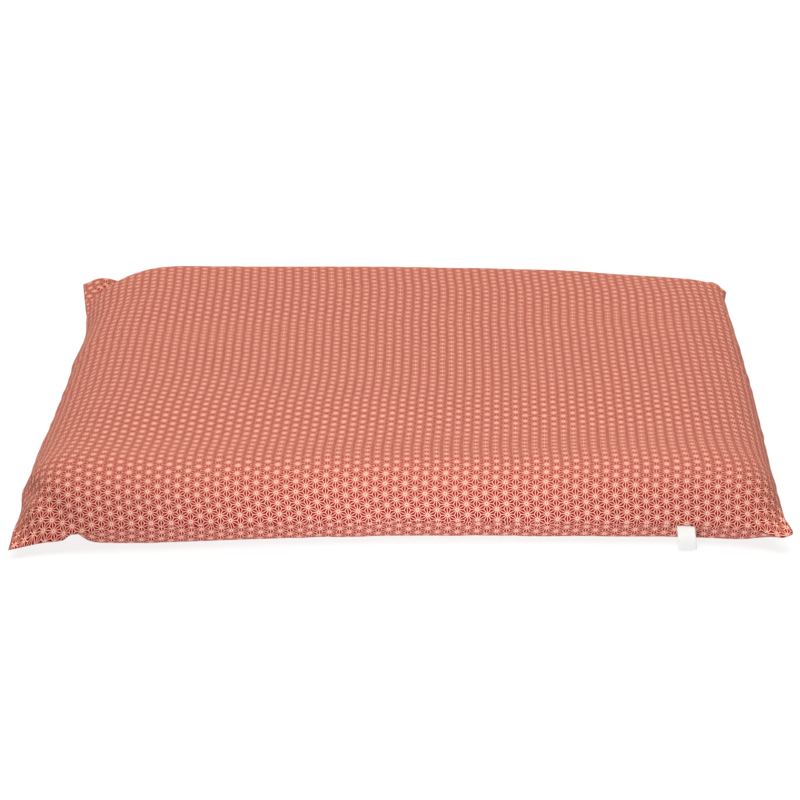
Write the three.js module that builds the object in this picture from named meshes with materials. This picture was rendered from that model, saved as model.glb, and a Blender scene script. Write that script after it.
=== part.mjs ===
// Zabuton: a flat filled floor mat of printed cotton, with a small folded cloth tag in its front seam.
// Millimetres, +Z up. The long sides run along X, and the front long side faces -Y.
// The origin is on the floor, in the middle of the mat's box.

import * as THREE from "three";

// Cut size of each of the two cover panels, and the height of the filled mat
const PANEL_WIDTH = 900;
const PANEL_DEPTH = 725;
const MAT_HEIGHT = 96;

// The seam between the panels, as it lies: front and back from left to right
const FRONT_SEAM = [
  { x: -452, y: -349, z: 11 },
  { x: -387, y: -334, z: 15 },
  { x: -290, y: -328, z: 26 },
  { x: -200, y: -321, z: 30 },
  { x: -100, y: -313, z: 29 },
  { x: 60, y: -308.5, z: 28 },
  { x: 200, y: -310, z: 28 },
  { x: 332, y: -312, z: 23 },
  { x: 413, y: -323, z: 19 },
  { x: 440, y: -331, z: 20 },
  { x: 456, y: -331, z: 24 },
];
const BACK_SEAM = [
  { x: -440, y: 343, z: 57 },
  { x: -409, y: 350, z: 63 },
  { x: -350, y: 342, z: 48 },
  { x: -260, y: 337, z: 38 },
  { x: 0, y: 334, z: 37 },
  { x: 200, y: 323, z: 36 },
  { x: 340, y: 313, z: 38 },
  { x: 390, y: 320, z: 50 },
  { x: 428, y: 327, z: 66 },
  { x: 451, y: 322, z: 54 },
];
// Left and right sides from front to back, between the corners above
const LEFT_SEAM = [
  { x: -450, y: -315, z: 18 },
  { x: -445, y: -280, z: 26 },
  { x: -448, y: -245, z: 32 },
  { x: -445, y: -215, z: 34 },
  { x: -440, y: -128, z: 37 },
  { x: -436, y: -85, z: 38 },
  { x: -432, y: -10, z: 39 },
  { x: -428, y: 53, z: 40 },
  { x: -428, y: 110, z: 41 },
  { x: -422, y: 190, z: 41 },
  { x: -426, y: 250, z: 43 },
  { x: -432, y: 290, z: 47 },
];
const RIGHT_SEAM = [
  { x: 449, y: -300, z: 32 },
  { x: 446, y: -270, z: 36 },
  { x: 446, y: -180, z: 40 },
  { x: 449, y: 60, z: 44 },
  { x: 448, y: 230, z: 45 },
  { x: 446, y: 295, z: 49 },
];

// How each panel leaves the seam on each side: steepest lean in degrees, straight run, the roll over
// which it levels out, and how early in the roll it does so. Runs and rolls grow with the height.
const TOP_WALLS = {
  left: { lean: 48, run: 10, roll: 150, ease: 1.3, seamHeight: 40 },
  right: { lean: 60, run: 6, roll: 172, ease: 3.0, seamHeight: 44 },
  front: { lean: 76, run: 50, roll: 32, ease: 1.0, seamHeight: 28 },
  back: { lean: 76, run: 50, roll: 32, ease: 1.0, seamHeight: 37 },
};
const UNDER_WALLS = {
  left: { lean: 60, run: 14, roll: 50, ease: 1.5, seamHeight: 40 },
  right: { lean: 65, run: 14, roll: 45, ease: 1.5, seamHeight: 44 },
  front: { lean: 80, run: 17, roll: 18, ease: 1.0, seamHeight: 28 },
  back: { lean: 70, run: 22, roll: 25, ease: 1.0, seamHeight: 37 },
};

// Corners that the filling doesn't reach: how far each flat ear runs in from its tip, above and below
const EARS = [
  { sideX: -1, sideY: -1, top: 70, under: 70 },
  { sideX: 1, sideY: -1, top: 50, under: 12 },
  { sideX: -1, sideY: 1, top: 62, under: 90 },
  { sideX: 1, sideY: 1, top: 16, under: 45 },
];
// How full the corners are between the walls that meet there: 0 is slack, and more is fuller
const CORNER_FULLNESS = 1.5;
// The crease between the raised back-left ear and the filling
const EAR_CREASE = { distance: 62, width: 14, depth: 12 };
// The small arch where the front seam lifts off the floor beside the front-left ear, and how far the
// bottom panel is tucked up behind it
const SEAM_ARCH = { x: -370, width: 15, inward: 60, lift: 13, tuck: 0.8 };
// Corners of the flat patch on which the mat rests, in steps of the mesh from the left and the front,
// and how the cloth round the patch rises clear of the floor: at its edge, and for each mm further out
const REST_CORNERS = [
  { across: 11, deep: 3 },
  { across: 40, deep: 3 },
  { across: 40, deep: 29 },
  { across: 38, deep: 32 },
  { across: 13, deep: 32 },
  { across: 6, deep: 23 },
  { across: 6, deep: 10 },
];
const REST_EDGE = { lift: 0.3, slope: 0.02 };
// Shallow hollows of the top, mostly valleys along X: middle, slope, depth, half-length and half-width
const HOLLOWS = [
  { x: 250, y: 40, slope: -0.02, depth: 3.0, length: 200, width: 30 },
  { x: -260, y: 12, slope: 0.06, depth: 3.0, length: 180, width: 34 },
  { x: -210, y: -172, slope: 0.0, depth: 2.5, length: 230, width: 42 },
  { x: 190, y: -205, slope: 0.03, depth: 2.5, length: 240, width: 38 },
  { x: 290, y: 205, slope: -0.05, depth: 2.0, length: 170, width: 42 },
  { x: -290, y: 190, slope: 0.08, depth: 2.0, length: 150, width: 38 },
  { x: 20, y: 50, slope: 0.0, depth: 4.0, length: 170, width: 130 },
  { x: 320, y: 300, slope: 0.0, depth: 5.0, length: 80, width: 60 },
];

// The folded tag: its tape width, hanging length, thickness, and where it leaves the front seam
const TAG = { width: 22, length: 28, thickness: 1.0, x: 333, gap: 0.4, sway: 2.0, floorGap: 0.6, sag: 3.4 };

// Lines of the fine measuring lattice, and how many of its steps make one step of the mesh
const LATTICE = { across: 184, deep: 144, meshStep: 4, crowding: 0.55 };
// Steps in which a wall's height is added up, and in which a place on a seam is closed in on
const WALL_STEPS = 60;
const SEARCH_STEPS = 30;
// Least share of a step of cloth that shows in plan, where the cloth climbs steeply
const LEAST_PLAN = 0.2;

const COTTON = { color: 0xd28271, roughness: 0.9, metalness: 0.0 };
const TAPE = { color: 0xf4f1ee, roughness: 0.75, metalness: 0.0 };

const halfWidth = PANEL_WIDTH / 2;
const halfDepth = PANEL_DEPTH / 2;

// Flat-cloth places from one edge of a panel to the other, closer together near the edges
function clothLines(half, count) {
  const lines = [];
  for (let i = 0; i <= count; i += 1) {
    const t = (2 * i) / count - 1;
    const even = (1 - LATTICE.crowding) * t;
    lines.push(half * (even + LATTICE.crowding * Math.sin((Math.PI * t) / 2)));
  }
  return lines;
}

// A smooth line through the rows of a seam table, from 0 at its first row to 1 at its last
function seamCurve(rows) {
  const places = rows.map((row) => new THREE.Vector3(row.x, row.y, row.z));
  return new THREE.CatmullRomCurve3(places, false, "catmullrom", 0.5);
}

// The place at which a curve has run a given share of its width (axis x) or depth (axis y)
function curvePlace(curve, axis, share) {
  const from = curve.getPoint(0)[axis];
  const to = curve.getPoint(1)[axis];
  const wanted = from + (to - from) * share;
  let low = 0;
  let high = 1;
  for (let i = 0; i < SEARCH_STEPS; i += 1) {
    const middle = (low + high) / 2;
    if (curve.getPoint(middle)[axis] < wanted) low = middle;
    else high = middle;
  }
  return curve.getPoint((low + high) / 2);
}

// Height that a wall has gained at a distance from the seam, for one wall at its given size
function wallRise(wall, distance) {
  const far = Math.min(distance, wall.run + wall.roll);
  let height = 0;
  for (let i = 0; i < WALL_STEPS; i += 1) {
    const at = (far * (i + 0.5)) / WALL_STEPS;
    const levelled = Math.max(0, (at - wall.run) / wall.roll);
    const lean = THREE.MathUtils.degToRad(wall.lean) * (1 - levelled) ** wall.ease;
    height += (Math.sin(lean) * far) / WALL_STEPS;
  }
  return height;
}

// Share of its full height, from 0 at the seam to 1 inside, that a panel has at a distance from a side
function riseShare(wall, height, distance) {
  const full = wallRise(wall, wall.run + wall.roll);
  const size = height / full;
  return wallRise(wall, distance / size) / full;
}

// Share of the full height where two walls meet, from each wall's own share
function cornerShare(shareX, shareY) {
  const lowest = Math.min(shareX, shareY);
  if (lowest <= 0) return 0;
  const sum = shareX ** -CORNER_FULLNESS + shareY ** -CORNER_FULLNESS - 1;
  return sum ** (-1 / CORNER_FULLNESS);
}

// Share of the way between two seams that the cloth has covered in plan, at each of its lines
function planShares(lines, heights) {
  const covered = [0];
  for (let i = 1; i < lines.length; i += 1) {
    const step = lines[i] - lines[i - 1];
    const climb = heights[i] - heights[i - 1];
    const flatSquare = Math.max(step * step - climb * climb, (LEAST_PLAN * step) ** 2);
    covered.push(covered[i - 1] + Math.sqrt(flatSquare));
  }
  return covered.map((value) => value / covered[covered.length - 1]);
}

// How much a place in the cloth belongs to the small arch in the front seam, from 0 to 1
function archShare(x, fromFront) {
  const beside = (x - SEAM_ARCH.x) / SEAM_ARCH.width;
  const inside = fromFront / SEAM_ARCH.inward;
  return Math.exp(-beside * beside - inside * inside);
}

// How far the top is let down by its hollows and by the crease at the raised ear
function topDip(x, y, fill) {
  let dip = 0;
  for (const hollow of HOLLOWS) {
    const along = (x - hollow.x) / hollow.length;
    const across = (y - hollow.y - hollow.slope * (x - hollow.x)) / hollow.width;
    dip += hollow.depth * Math.exp(-along * along - across * across) * fill ** 3;
  }
  const fromLeft = halfWidth + x;
  const fromBack = halfDepth - y;
  const off = (Math.hypot(fromLeft, fromBack) - EAR_CREASE.distance) / EAR_CREASE.width;
  const turn = Math.abs(Math.atan2(fromLeft, fromBack) / (Math.PI / 4) - 1);
  return dip + EAR_CREASE.depth * Math.exp(-off * off) * Math.max(0, 1 - turn);
}

// One panel of the cover as a lattice of places, with its fill share at each line of cloth
function panelPlaces(across, deep, seams, isTop) {
  const walls = isTop ? TOP_WALLS : UNDER_WALLS;
  const reach = (wall) => (isTop ? MAT_HEIGHT - wall.seamHeight : wall.seamHeight);
  const share = (wall, distance) => riseShare(wall, reach(wall), distance);
  const fillX = across.map((x) => share(walls.left, halfWidth + x) * share(walls.right, halfWidth - x));
  const fillY = deep.map((y) => share(walls.front, halfDepth + y) * share(walls.back, halfDepth - y));
  const planX = planShares(across, fillX.map((fill) => fill * reach(walls.left)));
  const planY = planShares(deep, fillY.map((fill) => fill * reach(walls.front)));
  const rows = [];
  across.forEach((x, i) => {
    const row = [];
    const u = (x + halfWidth) / PANEL_WIDTH;
    deep.forEach((y, j) => {
      const v = (y + halfDepth) / PANEL_DEPTH;
      const shareX = THREE.MathUtils.lerp(u, planX[i], fillY[j]);
      const shareY = THREE.MathUtils.lerp(v, planY[j], 1 - (1 - fillX[i]) ** 2);
      let fill = cornerShare(fillX[i], fillY[j]);
      for (const ear of EARS) {
        const tip = Math.hypot(halfWidth - ear.sideX * x, halfDepth - ear.sideY * y);
        fill *= 1 - Math.exp(-((tip / (isTop ? ear.top : ear.under)) ** 2));
      }
      const arch = archShare(x, halfDepth + y);
      const seamZ = seams.height(u, v, i, j) + SEAM_ARCH.lift * arch;
      const planPlaceX = THREE.MathUtils.lerp(seams.left[j].x, seams.right[j].x, shareX);
      const planPlaceY = THREE.MathUtils.lerp(seams.front[i].y, seams.back[i].y, shareY);
      const rise = (MAT_HEIGHT - seamZ) * fill - topDip(x, y, fill);
      const z = isTop ? seamZ + rise : seamZ * (1 - fill * (1 - SEAM_ARCH.tuck * arch));
      row.push(new THREE.Vector3(planPlaceX, planPlaceY, z));
    });
    rows.push(row);
  });
  return rows;
}

// Lays the bottom panel on the floor: flat inside the patch, and clear of the floor outside it
function restOnFloor(under) {
  const corners = REST_CORNERS.map((at) => under[at.across * LATTICE.meshStep][at.deep * LATTICE.meshStep]);
  const beyond = (place) => {
    let farthest = -Infinity;
    corners.forEach((from, k) => {
      const to = corners[(k + 1) % corners.length];
      const cross = (place.x - from.x) * (to.y - from.y) - (place.y - from.y) * (to.x - from.x);
      farthest = Math.max(farthest, cross / Math.hypot(to.x - from.x, to.y - from.y));
    });
    return farthest;
  };
  for (const row of under) {
    for (const place of row) {
      const outside = beyond(place);
      if (corners.includes(place)) place.z = 0;
      else if (outside > 0) place.z = Math.max(place.z, REST_EDGE.lift + REST_EDGE.slope * outside);
      else if (place.z < REST_EDGE.lift) place.z = 0;
    }
  }
}

// The four seam lines at every line of cloth, and the height of the seam spread over the panel
function seamLines(across, deep) {
  const corner = { frontLeft: FRONT_SEAM[0], frontRight: FRONT_SEAM[FRONT_SEAM.length - 1] };
  corner.backLeft = BACK_SEAM[0];
  corner.backRight = BACK_SEAM[BACK_SEAM.length - 1];
  const front = seamCurve(FRONT_SEAM);
  const back = seamCurve(BACK_SEAM);
  const left = seamCurve([corner.frontLeft, ...LEFT_SEAM, corner.backLeft]);
  const right = seamCurve([corner.frontRight, ...RIGHT_SEAM, corner.backRight]);
  const lines = {
    front: across.map((x) => curvePlace(front, "x", (x + halfWidth) / PANEL_WIDTH)),
    back: across.map((x) => curvePlace(back, "x", (x + halfWidth) / PANEL_WIDTH)),
    left: deep.map((y) => curvePlace(left, "y", (y + halfDepth) / PANEL_DEPTH)),
    right: deep.map((y) => curvePlace(right, "y", (y + halfDepth) / PANEL_DEPTH)),
  };
  lines.height = (u, v, i, j) => {
    const betweenLong = (1 - v) * lines.front[i].z + v * lines.back[i].z;
    const betweenShort = (1 - u) * lines.left[j].z + u * lines.right[j].z;
    const nearFront = (1 - u) * corner.frontLeft.z + u * corner.frontRight.z;
    const nearBack = (1 - u) * corner.backLeft.z + u * corner.backRight.z;
    return betweenLong + betweenShort - ((1 - v) * nearFront + v * nearBack);
  };
  return lines;
}

// The closed skin of the mat: the top panel's mesh, and the bottom panel's on the same seam
function padGeometry() {
  const across = clothLines(halfWidth, LATTICE.across);
  const deep = clothLines(halfDepth, LATTICE.deep);
  const seams = seamLines(across, deep);
  const top = panelPlaces(across, deep, seams, true);
  const under = panelPlaces(across, deep, seams, false);
  restOnFloor(under);
  const columns = LATTICE.across / LATTICE.meshStep;
  const rows = LATTICE.deep / LATTICE.meshStep;
  const positions = [];
  const place = (panel, i, j) => panel[i * LATTICE.meshStep][j * LATTICE.meshStep];
  const onSeam = (i, j) => i === 0 || j === 0 || i === columns || j === rows;
  const numbers = [top, under].map((panel) => {
    const number = new Map();
    for (let i = 0; i <= columns; i += 1) {
      for (let j = 0; j <= rows; j += 1) {
        if (panel === under && onSeam(i, j)) continue;
        number.set(`${i},${j}`, positions.length / 3);
        positions.push(...place(panel, i, j).toArray());
      }
    }
    return number;
  });
  const indices = [];
  numbers.forEach((number, layer) => {
    const corner = (i, j) => number.get(`${i},${j}`) ?? numbers[0].get(`${i},${j}`);
    for (let i = 0; i < columns; i += 1) {
      for (let j = 0; j < rows; j += 1) {
        const ring = [corner(i, j), corner(i + 1, j), corner(i + 1, j + 1), corner(i, j + 1)];
        if (i < columns / 2 !== j < rows / 2) ring.push(ring.shift());
        if (layer === 1) ring.reverse();
        const [a, b, c, d] = ring;
        const fold = layer === 0 ? [a, b, c, a, c, d] : [b, c, d, b, d, a];
        indices.push(...fold);
      }
    }
  });
  const geometry = new THREE.BufferGeometry();
  geometry.setAttribute("position", new THREE.Float32BufferAttribute(positions, 3));
  geometry.setIndex(indices);
  geometry.computeVertexNormals();
  return geometry;
}

// The seam's place above a given x, on the mesh's own straight steps along the front
function frontSeamAt(x) {
  const across = clothLines(halfWidth, LATTICE.across);
  const places = seamLines(across, clothLines(halfDepth, LATTICE.deep)).front;
  const steps = places.filter((place, i) => i % LATTICE.meshStep === 0);
  const next = steps.findIndex((place) => place.x > x);
  const share = (x - steps[next - 1].x) / (steps[next].x - steps[next - 1].x);
  return new THREE.Vector3().lerpVectors(steps[next - 1], steps[next], share);
}

// The tag: a thin folded tape that leaves the seam sloping out, and bends down to the floor
function tagGeometry() {
  const seamEnds = [frontSeamAt(TAG.x - TAG.width / 2), frontSeamAt(TAG.x + TAG.width / 2)];
  const root = new THREE.Vector3().lerpVectors(...seamEnds, 0.5);
  const bend = 12;
  const drop = root.z - TAG.floorGap - TAG.thickness / 2;
  const forward = Math.sqrt(TAG.length ** 2 - drop ** 2);
  const start = { y: root.y - TAG.gap - TAG.thickness / 2, z: root.z };
  const side = [];
  const otherSide = [];
  for (let i = 0; i <= bend; i += 1) {
    const t = i / bend;
    const sag = (TAG.sag / TAG.length) * Math.sin(Math.PI * t);
    const turn = (TAG.sag / TAG.length) * Math.PI * Math.cos(Math.PI * t);
    const y = start.y - forward * t - sag * drop;
    const z = start.z - drop * t + sag * forward;
    const slopeY = -forward - turn * drop;
    const slopeZ = -drop + turn * forward;
    const size = Math.hypot(slopeY, slopeZ) / (TAG.thickness / 2);
    side.push(new THREE.Vector2(y - slopeZ / size, z + slopeY / size));
    otherSide.push(new THREE.Vector2(y + slopeZ / size, z - slopeY / size));
  }
  const outline = new THREE.Shape([...side, ...otherSide.reverse()]);
  const geometry = new THREE.ExtrudeGeometry(outline, { depth: TAG.width, bevelEnabled: false, steps: 4 });
  const position = geometry.attributes.position;
  for (let i = 0; i < position.count; i += 1) {
    const y = position.getX(i);
    const z = position.getY(i);
    const alongTag = (root.y - y) / forward;
    const shift = new THREE.Vector3().lerpVectors(...seamEnds, position.getZ(i) / TAG.width).sub(root);
    const x = root.x + shift.x + TAG.sway * alongTag;
    position.setXYZ(i, x, y + shift.y, z + shift.z * (1 - alongTag));
  }
  geometry.computeVertexNormals();
  return geometry;
}

function piece(name, geometry, finish) {
  const mesh = new THREE.Mesh(geometry, new THREE.MeshStandardMaterial(finish));
  mesh.name = name;
  return mesh;
}

// Both pieces in one group, moved so that the origin is under the middle of the mat's box
function zabuton() {
  const pad = piece("pad", padGeometry(), COTTON);
  const label = piece("label", tagGeometry(), TAPE);
  pad.geometry.computeBoundingBox();
  const middle = pad.geometry.boundingBox.getCenter(new THREE.Vector3());
  const group = new THREE.Group();
  for (const mesh of [pad, label]) {
    mesh.position.set(-middle.x, -middle.y, 0);
    group.add(mesh);
  }
  return group;
}

export default zabuton();
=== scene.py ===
"""Zabuton: a filled floor mat of printed cotton with a folded tag in its front seam.

The mat's tables are in millimetres, +Z up, with its front seam towards -Y. The tables of the stitches,
the tag, the looks and the stage are in metres, and so are the finished pieces.
"""

import math

import bmesh
import bpy
import numpy as np
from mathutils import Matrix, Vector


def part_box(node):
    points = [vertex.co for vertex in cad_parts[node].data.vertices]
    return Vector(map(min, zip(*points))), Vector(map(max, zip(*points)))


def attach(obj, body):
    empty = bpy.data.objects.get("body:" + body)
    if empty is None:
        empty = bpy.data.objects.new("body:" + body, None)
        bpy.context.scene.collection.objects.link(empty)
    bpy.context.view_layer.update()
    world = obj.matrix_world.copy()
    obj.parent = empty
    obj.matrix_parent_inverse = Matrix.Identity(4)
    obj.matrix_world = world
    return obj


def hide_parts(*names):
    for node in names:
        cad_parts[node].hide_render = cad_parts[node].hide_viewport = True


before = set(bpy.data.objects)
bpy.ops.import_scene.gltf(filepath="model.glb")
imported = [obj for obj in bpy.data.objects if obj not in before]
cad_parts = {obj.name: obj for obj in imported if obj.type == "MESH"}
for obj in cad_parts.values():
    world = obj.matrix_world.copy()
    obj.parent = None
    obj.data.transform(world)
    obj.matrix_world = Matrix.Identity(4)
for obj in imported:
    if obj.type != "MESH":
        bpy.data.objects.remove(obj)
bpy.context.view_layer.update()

MM = 0.001

bl_info = {
    "name": "Zabuton",
    "version": (1, 0, 0),
    "blender": (4, 5, 0),
    "location": "View3D > Sidebar > Zabuton",
    "description": "A filled floor mat of printed cotton with a plain seam and a folded tag",
    "category": "Add Mesh",
}

# The seam between the two panels as the mat lies: front and back from left to right
FRONT_SEAM = [
    (-452, -349, 11), (-415, -339, 15), (-390, -334.5, 16.3), (-383, -333.5, 22.3), (-372, -332.5, 23.5),
    (-345, -331, 27.5), (-310, -329, 29), (-250, -325, 29), (-180, -319, 28),
    (-100, -313, 27.3), (0, -309.5, 27.3), (100, -308.5, 26.8), (175, -309.5, 24.7),
    (240, -310, 25), (300, -310.5, 24.8), (350, -313, 23.5), (390, -319, 24.2),
    (415, -324, 23), (434, -331, 19.6), (443, -333.5, 19.2), (449.5, -334, 21.2), (454.1, -333, 23),
]
BACK_SEAM = [
    (-440, 343, 57), (-409, 350, 63), (-350, 342, 48), (-260, 337, 38), (0, 334, 37),
    (200, 323, 36), (340, 313, 38), (390, 320, 50), (428, 327, 66), (451, 322, 54),
]
# Left and right sides from front to back, between those corners
LEFT_SEAM = [
    (-450, -315, 18), (-445, -280, 26), (-448, -245, 32), (-445, -215, 34),
    (-440, -128, 37), (-436, -85, 38), (-432, -10, 39), (-428, 53, 40),
    (-428, 110, 41), (-422, 190, 41), (-426, 250, 43), (-432, 290, 47),
]
RIGHT_SEAM = [
    (454.8, -329, 25), (453.6, -324, 26.2), (451.5, -316, 28), (448.5, -308, 30.3),
    (447.5, -295, 33), (446, -265, 37),
    (446, -180, 40), (448, -60, 42), (449, 60, 44), (448, 180, 45), (447, 260, 46),
    (446, 295, 49),
]
# Middle of the mat's box in those places, which is the frame's origin in plan
SEAM_MIDDLE = (2.0, 0.502)
# Small waves of the seam line: depth, number along a side, and the seed of the front side, from which
# those of the back, left and right count up
SEAM_SWAY = 0.8
SEAM_WAVES = 42
SWAY_SEED = 61
# How a panel leaves the seam on each side, at the side's start and at its end: lean in degrees,
# straight run, roll, ease. Sides run to the right and to the back.
TOP_WALLS = {
    "left": ((76, 12, 118, 1.2), (48, 10, 150, 1.3)), "right": ((72, 8, 120, 2.0), (60, 6, 172, 3.0)),
    "front": ((74, 3, 68, 1.0), (70, 3, 92, 1.1)), "back": ((76, 50, 32, 1.0), (76, 50, 32, 1.0)),
}
UNDER_WALLS = {
    "left": ((60, 14, 50, 1.5), (60, 14, 50, 1.5)), "right": ((65, 14, 45, 1.5), (65, 14, 45, 1.5)),
    "front": ((72, 17, 18, 1.0), (72, 17, 18, 1.0)), "back": ((70, 22, 25, 1.0), (70, 22, 25, 1.0)),
}
# Usual height of the seam on each side, which says how far a panel rises or falls from there
SEAM_HEIGHT = {"left": 40, "right": 44, "front": 28, "back": 37}
# Shares of each side between which its first form turns into its second
WALL_TURN = {"left": (0.05, 0.32), "right": (0.04, 0.22), "front": (0.55, 0.90), "back": (0.0, 1.0)}
# Ears that the filling doesn't reach: side in X and in Y, their reach along X and Y above, then below,
# and how sharp the fold is that runs up from each of them
EARS = [
    (-1, -1, (30, 75), (70, 70), 4.0), (1, -1, (50, 55), (12, 12), 4.0),
    (-1, 1, (62, 62), (90, 90), 1.5), (1, 1, (16, 16), (45, 45), 1.5),
]
# How sharp the fold is far from an ear, and how far an ear's own fold reaches
CORNER_FULLNESS = 1.5
FOLD_REACH = 190
# The crease across the raised ear at the back left
EAR_CREASE = {"distance": 62, "width": 14, "depth": 12}
# Where the front seam arches off the floor, and how much of its height the underside keeps there
SEAM_ARCH = {"x": -378, "left": 12, "right": 22, "inward": 60, "tuck": 0.92}
# The valley between the near left ear and the filling: reach along the side and the front, width, depth,
# how soon it begins beside the seam, and its share below
EAR_VALLEY = {"side": 118, "front": 80, "width": 10, "depth": 4.0, "rise": 8.0, "under": 0.4}
# Shallow hollows of the top: x, y, slope, depth, half-length, half-width
HOLLOWS = [
    (-250, 112, 0.05, 5.5, 190, 44), (-230, -205, 0.0, 6.5, 230, 46),
    (200, -200, 0.02, 6.5, 250, 48), (285, 170, -0.05, 5.0, 180, 46),
    (20, 50, 0.0, 4.0, 170, 130), (320, 300, 0.0, 5.0, 80, 60), (0, -257, 0.0, 8.7, 430, 54),
]
# Gathers beside the seam: seed and number of waves on each side of the top, then how soon they begin,
# how far they reach, and the least and the changing part of their depth. The seeds of that change and of
# the underside's gathers are higher by the numbers given here.
GATHERS = {"front": (11, 58), "back": (23, 52), "left": (37, 44), "right": (41, 46)}
GATHER_FORM = {"rise": 2.5, "reach": 16.0, "least": 0.65, "more": 0.35}
GATHER_CHANGE = {"seed": 500, "waves": 9}
UNDER_SEED = 100
# Distance from the seam at which the swell beside it is highest
SWELL_REACH = 3.0
# Slow drift of the print's columns where the cloth lies askew: middle, shift, reach across and deep
PRINT_DRIFT = [
    (-230, -300, 3.5, 260, 40), (-260, -60, -4.8, 240, 100), (-260, 215, 1.7, 250, 60),
    (300, -260, -2.5, 200, 90), (280, 40, 4.1, 240, 150), (280, 290, -1.7, 250, 50),
    (0, -350, 1.2, 150, 60), (-400, -190, -3.8, 100, 110), (430, -285, -7.0, 90, 60),
    (-430, -300, 5.0, 70, 35), (430, 215, 3.0, 60, 60),
]
# The front face was cut off the grain, so its rows climb to the right, after a dip near its left end
GRAIN_SLANT = {
    "start": -330, "length": 690, "most": 1.2, "climb": 31, "power": 1.75, "from": -170, "to": -305,
}
GRAIN_DIP = {"at": -300, "width": 60, "depth": 3.2}
# The front face is taut at its two ends and slack between them, so its rows lie lower there
GRAIN_LIFT = {"least": 7.0, "more": 3.0, "at": -50, "reach": 170, "left": (-392, 92), "right": (400, 145)}
# Place of one star of the print on each panel
TOP_STAR = (-2.3, 1.7)
UNDER_STAR = (9.5, 6.6)
# The mesh's lines beside an edge: the first spacing, and how many times wider each next one is
EDGE_STEP = 0.9
EDGE_GROWTH = 1.22
# Steps in which a wall's height is summed, and steps of the search along a seam
WALL_STEPS = 60
SEARCH_STEPS = 30
# Least share of a step of cloth that counts in plan, however steep the cloth is
LEAST_PLAN = 0.2
# Keeps divisions and powers away from nought
TINY = 1e-9
# The map of both panels: the gap between them, and how much larger the square is than the panels
BAKE_GAP = 12
BAKE_MARGIN = 1.001

# Stitches, in metres: how far the thread lies outside the seam line, then the thread's faces and the seed
STITCH_OUT = 0.00025
STITCH_SEGMENTS = 6
STITCH_RINGS = 5
STITCH_SEED = 5
# How the tag hangs in its box, in metres: its root behind and below the upper back edge, its tip inside
# the lower front edge, its left edge, how far it bows out and how far its layers part, and how far its
# lower end swings to the right and lifts on that side. The gap is a share of the tape's thickness.
TAG_FORM = {
    "root_back": 0.0012, "root_down": 0.0006, "tip_in": 0.0007, "left_in": 0.0003, "bow": 0.0034,
    "parting": 0.0001, "swing": 0.0014, "lift": 0.0014, "gap": 0.6,
}
TAG_STEPS = {"length": 26, "fold": 10, "width": 18}

# Looks: spacings, heights and wanderings in metres, scales in repeats for each metre, and the rest shares.
# The cotton's valley is painted shade: the share of the colour kept in the weave's low parts.
COTTON_LOOK = {
    "thread": 0.00048, "thread_height": 0.00008, "crumple_scale": 34.0, "crumple_height": 0.0016,
    "ink_scale": 900.0, "ink_dark": 0.84, "ink_light": 1.18, "cotton_dark": 0.92, "valley": 0.84,
    "waver_scale": 700.0, "waver": 0.00022, "print_edge": 0.010,
    "roughness": 0.80, "bare_roughness": 0.06, "shine": 0.1,
}
THREAD_LOOK = {"twist_scale": 2600.0, "twist_height": 0.00005, "dark": 0.7, "light": 1.3, "roughness": 0.7}
TAPE_LOOK = {"thread": 0.00028, "thread_height": 0.00004, "dark": 0.93, "roughness": 0.62, "smoother": -0.1}
FLOOR_LOOK = {"scale": 3.0, "dark": 0.99, "roughness": 0.9}
# Stage, in metres, with the sensor's width in millimetres
FLOOR_HALF = 12.0
FLOOR_DROP = 0.0003
SENSOR_WIDTH = 36.0
CAMERA_REACH = 100.0


class MatSizes(bpy.types.PropertyGroup):
    """Sizes of the cover and of its seam."""

    panel_width: bpy.props.FloatProperty(
        name="Panel width", description="Cut width of each panel inside the seam",
        default=0.900, min=0.3, unit="LENGTH")
    panel_depth: bpy.props.FloatProperty(
        name="Panel depth", description="Cut depth of each panel inside the seam",
        default=0.725, min=0.3, unit="LENGTH")
    height: bpy.props.FloatProperty(
        name="Height", description="Height of the filled mat",
        default=0.096, min=0.02, unit="LENGTH")
    cloth_step: bpy.props.FloatProperty(
        name="Cloth step", description="Spacing of the mesh in the middle of a panel",
        default=0.0042, min=0.002, unit="LENGTH")
    seam_groove: bpy.props.FloatProperty(
        name="Seam groove", description="How far the cloth swells beside the seam line",
        default=0.0009, min=0.0, unit="LENGTH")
    pucker: bpy.props.FloatProperty(
        name="Seam pucker", description="Depth of the small gathers beside the seam",
        default=0.0008, min=0.0, unit="LENGTH")
    fill: bpy.props.FloatProperty(
        name="Fill", description="How tightly the mat is filled, from slack to full",
        default=0.6, min=0.0, max=1.0, subtype="FACTOR")


class PrintSizes(bpy.types.PropertyGroup):
    """Repeat and line sizes of the hemp-leaf print."""

    column_spacing: bpy.props.FloatProperty(
        name="Column spacing", description="Distance between columns of stars",
        default=0.01151, min=0.001, unit="LENGTH", precision=5)
    star_spacing: bpy.props.FloatProperty(
        name="Star spacing", description="Distance between stars in a column",
        default=0.01266, min=0.001, unit="LENGTH", precision=5)
    line_width: bpy.props.FloatProperty(
        name="Line width", description="Width of the unprinted lines, as a share of the star spacing",
        default=0.067, min=0.01, max=0.5, subtype="FACTOR")
    disc_radius: bpy.props.FloatProperty(
        name="Disc radius", description="Radius of the disc in each star, as a share of the star spacing",
        default=0.114, min=0.0, max=0.5, subtype="FACTOR")
    dot_radius: bpy.props.FloatProperty(
        name="Dot radius", description="Radius of the dot in each disc, as a share of the star spacing",
        default=0.066, min=0.0, max=0.5, subtype="FACTOR")


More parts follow.
